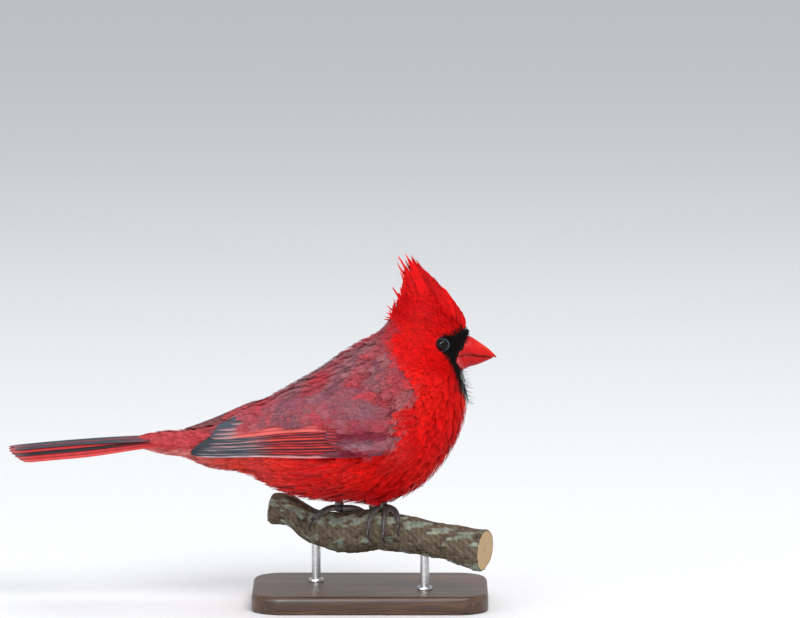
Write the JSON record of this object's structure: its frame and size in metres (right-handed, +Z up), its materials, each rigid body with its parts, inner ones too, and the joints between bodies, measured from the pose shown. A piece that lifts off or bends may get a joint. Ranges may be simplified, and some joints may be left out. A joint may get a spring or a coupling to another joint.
{
  "type": "northern cardinal model",
  "caption": "Life-size museum-type model of a male northern cardinal perched on a short cut branch, held up by a plain display stand",
  "frame": {"origin": "middle of the underside of the stand's base, which rests on the floor", "axes": "+X the way the bird faces, +Y the bird's left, +Z up"},
  "size_m": [0.2148, 0.07, 0.1512],
  "materials": {
    "plumage": "soft contour feathers, vivid red with a rose-grey back and a black face mask",
    "flight_feathers": "smooth quill feathers, dusky with red and pinkish edges",
    "bill": "satin coral-red horn",
    "eye": "glossy black-brown",
    "leg_skin": "dull scaled grey-brown skin",
    "claw": "satin dark horn",
    "bark": "rough grey-brown bark with pale green lichen",
    "stand_wood": "satin dark turned wood",
    "stand_metal": "brushed"
  },
  "bodies": {
    "root": {"head": "plumage", "crest": "plumage", "neck": "plumage", "trunk": "plumage", "rump": "plumage", "wing_right": "flight_feathers", "wing_left": "flight_feathers", "tail": "flight_feathers", "bill_upper": "bill", "bill_lower": "bill", "eye_right": "eye", "eye_left": "eye", "tarsus_right": "leg_skin", "foot_right": "leg_skin", "claw_right_1": "claw", "claw_right_2": "claw", "claw_right_3": "claw", "claw_right_4": "claw", "tarsus_left": "leg_skin", "foot_left": "leg_skin", "claw_left_1": "claw", "claw_left_2": "claw", "claw_left_3": "claw", "claw_left_4": "claw", "perch": "bark", "stand_base": "stand_wood", "stand_rod_1": "stand_metal", "stand_rod_2": "stand_metal"}
  },
  "joints": []
}
